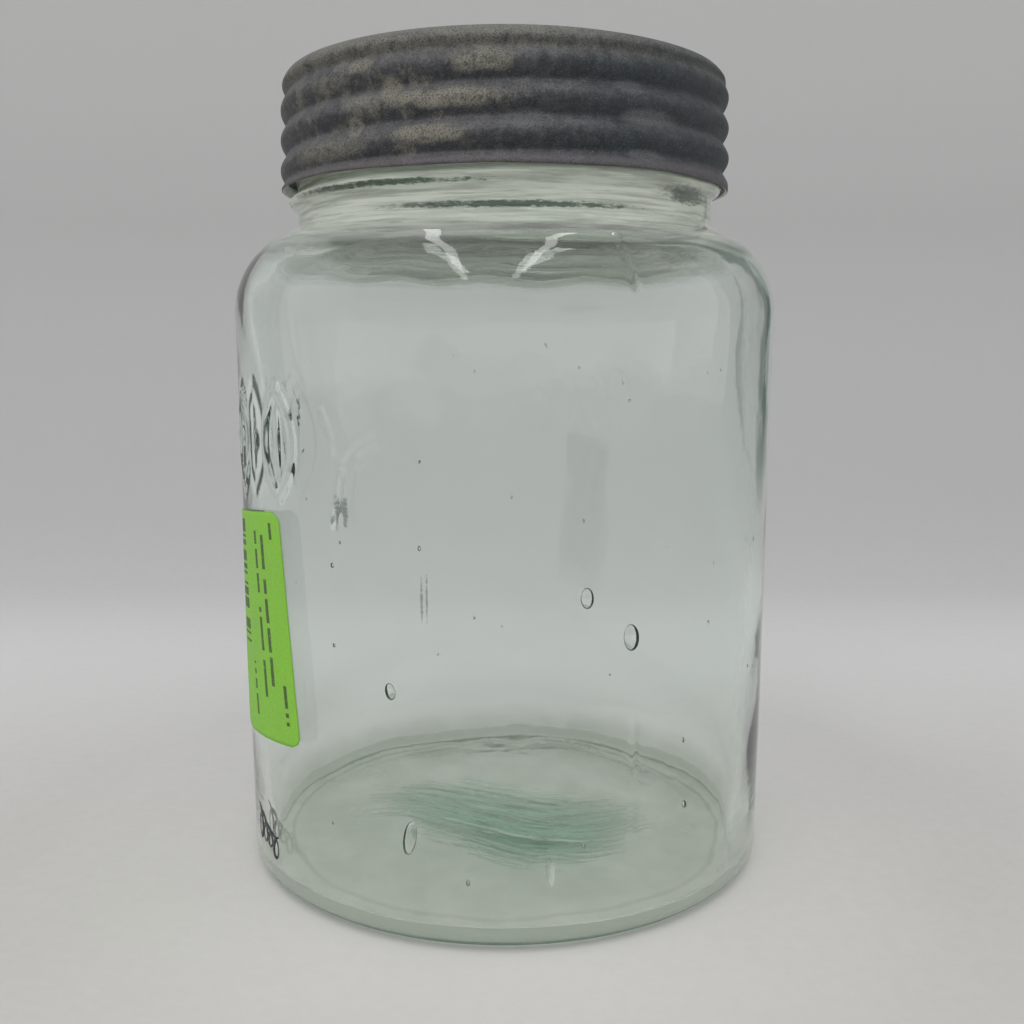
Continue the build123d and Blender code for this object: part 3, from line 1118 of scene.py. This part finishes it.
def zinc_material():
    """Old zinc: dark oxide, painted paler where it faces up as painted light from above, with cream
    corrosion and a clean inside.
    """
    n = Nodes("aged_zinc")
    place = n.place()
    x, y, z = n.split(place)
    phi = n.angle(x, y)
    up = n.facing()[2]
    mottle = n.noise(place, 0.55, 6.0, 0.7, warp=0.6)
    grit = n.noise(place, 4.2, 4.0, 0.75)
    drag = n.noise(place, 0.5, 4.0, 0.6, stretch=(0.25, 0.25, 2.2))
    wander = n.minus(n.noise(place, 0.45, 5.0, 0.7), 0.5)
    oxide, raised = zinc_oxide(n, phi, up, mottle, wander)
    chalk = zinc_chalk(n, place, phi, raised, mottle, wander)
    colour = n.mix(chalk, oxide, n.mix(n.between(grit, 0.3, 0.7), *CHALK))
    colour = n.mix(n.times(spots(n, phi, z, wander, CAP_SCUFFS), 0.7), colour, SCUFF_GREY)
    colour = n.mix(n.fade(z, CAP_LOW.z + 0.8, CAP_LOW.z + 2.0, 0.6), colour, RIM_GREY)
    specks = n.fade(n.cells(place, 1.3), 0.0, 0.28)
    few = n.between(n.noise(place, 0.3, 2.0), 0.52, 0.66)
    colour = n.mix(n.times(specks, few, 0.45), colour, SPECK_GREY)
    colour = n.mix(n.fade(grit, 0.35, 0.52, 0.65), colour, GRIT_DARK)
    colour = n.mix(n.between(grit, 0.54, 0.68, 0.0, 0.3), colour, GRIT_PALE)
    inside = zinc_inside(n, place)
    n.set(
        Base_Color=n.mix(inside, colour, n.mix(n.between(mottle, 0.3, 0.7), *BARE_ZINC)),
        Metallic=n.most(inside, n.fade(chalk, 0.0, 0.4, 0.25)),
        Roughness=n.between(n.plus(chalk, n.times(drag, 0.6)), 0.1, 0.9, 0.5, 0.85),
    )
    n.raised(n.plus(n.times(grit, 0.6), mottle, drag), 0.5, 0.12)
    return n.material


def opal_material():
    """White opal glass, faintly warm and slightly cloudy."""
    n = Nodes("opal_glass")
    place = n.place()
    cloud = n.noise(place, 0.08, 4.0)
    n.set(
        Base_Color=n.mix(n.between(cloud, 0.35, 0.7), (0.80, 0.80, 0.77), (0.70, 0.71, 0.67)),
        Roughness=n.between(n.noise(place, 0.6, 4.0), 0.3, 0.7, 0.10, 0.28),
        Subsurface_Weight=0.3,
        Subsurface_Scale=2 * MM,
    )
    n.raised(n.noise(place, 0.4, 3.0), 0.15, 0.1)
    return n.material


LABEL_GREEN = (0.25, 0.60, 0.040)
LABEL_FADED_GREEN = (0.24, 0.52, 0.06)
LABEL_BLACK = (0.02, 0.025, 0.015)

# Bars and dashes printed on the label, along its long side: from and to across, from and to up,
# length of one cell, share of the cells that are printed, seed
PRINTED = [
    (-9.0, -3.4, -4.0, 16.5, 0.42, 0.55, 1.0),
    (-2.2, -1.2, -14.5, -6.0, 0.8, 0.7, 2.0),
    (2.6, 3.6, -11.0, 14.8, 0.75, 0.75, 3.0),
    (5.4, 6.5, -10.0, 14.8, 0.75, 0.78, 4.0),
    (8.8, 9.7, 13.6, 16.4, 0.7, 0.8, 5.0),
    (9.2, 10.1, -14.6, -7.4, 0.7, 0.75, 6.0),
]


def printed(n, a, b, bar):
    """1 where one bar of cells is printed, at a across and b up the label."""
    a_low, a_high, b_low, b_high, cell, share, seed = bar
    within = [
        n.math(kind, value, limit)
        for value, low, high in ((a, a_low, a_high), (b, b_low, b_high))
        for kind, limit in (("GREATER_THAN", low), ("LESS_THAN", high))
    ]
    which = n.add("ShaderNodeCombineXYZ")
    n.feed(which.inputs[0], n.math("FLOOR", n.math("DIVIDE", b, cell)))
    which.inputs[1].default_value = seed
    chance = n.add("ShaderNodeTexWhiteNoise", noise_dimensions="2D")
    n.link(which.outputs[0], chance.inputs["Vector"])
    return n.times(*within, n.math("LESS_THAN", chance.outputs["Value"], share))


def label_material():
    """Green coated paper with generic bars and dashes in black, along the label's long side."""
    n = Nodes("label_paper")
    place = n.place()
    x, y, z = n.split(place)
    across = n.times(n.minus(n.angle(x, y), radians(LABEL_PHI)), BODY_TOP_R)
    up = n.minus(z, LABEL_Z)
    tilt = radians(LABEL_TILT)
    a = n.plus(n.times(across, cos(tilt)), n.times(up, sin(tilt)))
    b = n.minus(n.times(up, cos(tilt)), n.times(across, sin(tilt)))
    worn = n.between(n.noise(place, 3.0, 3.0), 0.28, 0.42)
    ink = n.times(n.most(*[printed(n, a, b, bar) for bar in PRINTED]), worn, 0.85)
    fibre = n.noise(place, 2.2, 4.0, 0.7)
    shade = n.noise(place, 0.12, 3.0)
    paper = n.mix(n.between(fibre, 0.3, 0.7), LABEL_GREEN, tuple(c * 0.9 for c in LABEL_GREEN))
    paper = n.mix(n.between(shade, 0.4, 0.7, 0.0, 0.5), paper, LABEL_FADED_GREEN)
    n.set(
        Base_Color=n.mix(ink, paper, LABEL_BLACK),
        Roughness=n.between(fibre, 0.3, 0.7, 0.5, 0.65),
    )
    n.raised(fibre, 0.12, 0.05)
    return n.material


def ink_material():
    """Dark violet marker ink, uneven where the pen ran dry."""
    n = Nodes("pen_ink")
    dry = n.noise(n.place(), 1.8, 4.0)
    n.set(
        Base_Color=n.mix(n.between(dry, 0.4, 0.7), (0.004, 0.004, 0.010), (0.016, 0.014, 0.030)),
        Roughness=n.between(dry, 0.3, 0.7, 0.3, 0.6),
    )
    return n.material


TABLE_GREY = (0.608, 0.594, 0.574)
TABLE_FAR_GREY = (0.70, 0.70, 0.705)
# Painted light: the table is paler under the jar and glows under and beside it, where the glass
# gathers light
TABLE_PAINTED_LIGHT_UNDER_JAR = (0.90, 0.90, 0.87)
LIGHT_GATHERED_UNDER_JAR = 0.28
LIGHT_GATHERED_BESIDE_JAR = 0.09
WALL_FOOT_GREY = (0.435, 0.435, 0.437)
WALL_TOP_GREY = (0.475, 0.475, 0.475)
WALL_LEFT_GREY = (0.60, 0.60, 0.60)
WALL_BAND_TEAL = (0.040, 0.075, 0.060)


def stage_material():
    """A pale laminate table with faint mottling, and a grey wall with a dark band on the right.
    Painted light: the table is painted paler and glows faintly under the jar, and glows beside it,
    where the glass gathers light on it."""
    n = Nodes("table_top")
    place = n.place()
    x, y, z = n.split(place)
    fog = n.noise(place, 0.012, 4.0)
    fine = n.noise(place, 0.35, 5.0, 0.7)
    table = n.mix(n.between(fog, 0.35, 0.7), TABLE_GREY, tuple(c * 1.04 for c in TABLE_GREY))
    table = n.mix(n.between(fine, 0.3, 0.7, 0.0, 0.3), table, tuple(c * 0.93 for c in TABLE_GREY))
    table = n.mix(n.between(y, -30.0, 110.0, 0.0, 0.85), table, TABLE_FAR_GREY)
    radius = n.radius(x, y)
    # Painted light: a paler, glowing pool under the jar
    under_jar = n.fade(radius, 40.5, 42.5)
    table = n.mix(under_jar, table, TABLE_PAINTED_LIGHT_UNDER_JAR)
    beside = n.fade(radius, 44.0, 90.0, LIGHT_GATHERED_BESIDE_JAR)
    wall = n.mix(n.between(z, 60.0, 220.0), WALL_FOOT_GREY, WALL_TOP_GREY)
    wall = n.mix(n.between(x, -260.0, -420.0), wall, WALL_LEFT_GREY)
    band = n.times(n.between(x, 244.0, 266.0), n.fade(x, 305.0, 345.0, 0.9))
    wall = n.mix(n.times(band, n.between(z, 5.0, 60.0)), wall, WALL_BAND_TEAL)
    n.set(
        Base_Color=n.mix(n.between(y, 100.0, 300.0), table, wall),
        Roughness=n.between(fine, 0.3, 0.7, 0.5, 0.7),
        Emission_Color=(1.0, 1.0, 0.97, 1.0),
        Emission_Strength=n.most(n.times(under_jar, LIGHT_GATHERED_UNDER_JAR), beside),
    )
    return n.material


def coat(piece, material):
    piece.data.materials.clear()
    piece.data.materials.append(material)


# ---------------------------------------------------------------- stage


# The table is a hair below the glass, so that light leaves the jar's foot before it meets the table
TABLE_Z = -0.12


def make_stage():
    """A table top that curves up into a plain wall behind the jar."""
    table_edge, bend, height, half = 190.0, 140.0, 1400.0, 1500.0
    profile = joined(
        line((-1500.0, TABLE_Z), (table_edge, TABLE_Z), 100.0),
        arc((table_edge, bend + TABLE_Z), bend, -90, 0, 8.0),
        line((table_edge + bend, bend + TABLE_Z), (table_edge + bend, height), 100.0),
    )
    verts, faces = [], []
    for y, z in profile:
        verts += [(-half, y, z), (half, y, z)]
    for i in range(len(profile) - 1):
        faces.append((2 * i, 2 * i + 1, 2 * i + 3, 2 * i + 2))
    stage = new_mesh("table_and_backdrop", verts, faces)
    coat(stage, stage_material())


# Two strip lamps: their ends, for a lamp 1 above the height they are measured from
STRIP_ENDS = [
    ((-0.36, -1.15, 1.0), (-0.28, 0.36, 1.0)),
    ((0.15, -1.10, 1.0), (0.25, 0.32, 1.0)),
]
STRIP_HEIGHT = 760.0
STRIP_MEASURED_FROM = 100.0
STRIP_WIDTH = 0.06
STRIP_RADIANCE = 4.5
ROOM_BRIGHTNESS = 0.95


def strip_light(ends):
    """One of two long lamps overhead, which looks straight down."""
    near, far = (Vector(end) for end in ends)
    middle = (near + far) / 2 * STRIP_HEIGHT + Vector((0, 0, STRIP_MEASURED_FROM))
    data = bpy.data.lights.new("strip", "AREA")
    data.shape = "RECTANGLE"
    data.size = (far - near).length * STRIP_HEIGHT * MM
    data.size_y = STRIP_WIDTH * STRIP_HEIGHT * MM
    data.energy = STRIP_RADIANCE * pi * data.size * data.size_y
    lamp = bpy.data.objects.new("strip", data)
    along = (far - near).normalized()
    down = Vector((0, 0, -1))
    across = down.cross(along)
    matrix = Matrix((along, -across, -down)).transposed().to_4x4()
    matrix.translation = middle * MM
    lamp.matrix_world = matrix
    bpy.context.scene.collection.objects.link(lamp)


def make_lights():
    """Two strip lamps in an evenly bright room."""
    for ends in STRIP_ENDS:
        strip_light(ends)
    world = bpy.data.worlds.new("soft_room")
    bpy.context.scene.world = world
    world.use_nodes = True
    background = world.node_tree.nodes["Background"]
    background.inputs["Color"].default_value = (1.0, 1.0, 1.0, 1.0)
    background.inputs["Strength"].default_value = ROOM_BRIGHTNESS


CAMERA_PLACE = (0.0, -192.86, 85.45)
CAMERA_LOOKS_DOWN = 8.5
CAMERA_TURN = -0.34
SENSOR_WIDTH = 36.0
FOCAL_LENGTH = 39.82


def make_camera():
    """The camera stands in front of the jar, near it, a little above its middle, looking down."""
    data = bpy.data.cameras.new("camera")
    data.sensor_width = SENSOR_WIDTH
    data.lens = FOCAL_LENGTH
    camera = bpy.data.objects.new("camera", data)
    camera.location = Vector(CAMERA_PLACE) * MM
    camera.rotation_euler = (radians(90 - CAMERA_LOOKS_DOWN), 0, radians(CAMERA_TURN))
    data.clip_start = 0.01
    bpy.context.scene.collection.objects.link(camera)
    bpy.context.scene.camera = camera


# ---------------------------------------------------------------- assembly

PIECES = [
    (make_jar, glass_material, "jar", "green_glass", "jar_body"),
    (make_cap, zinc_material, "cap", "aged_zinc", "screw_cap"),
    (make_liner, opal_material, "liner", "opal_glass", "cap_liner"),
    (make_label, label_material, "jar", "label_paper", "price_label"),
]

for make, material, body, slot, node in PIECES:
    piece = make()
    coat(piece, material())
    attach(piece, body)
    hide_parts(node)

pen_mark = make_ink()
coat(pen_mark, ink_material())
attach(pen_mark, "jar")

make_stage()
make_lights()
make_camera()

scene = bpy.context.scene
scene.view_settings.view_transform = "Standard"
scene.cycles.max_bounces = 24
scene.cycles.transmission_bounces = 24
scene.cycles.glossy_bounces = 8
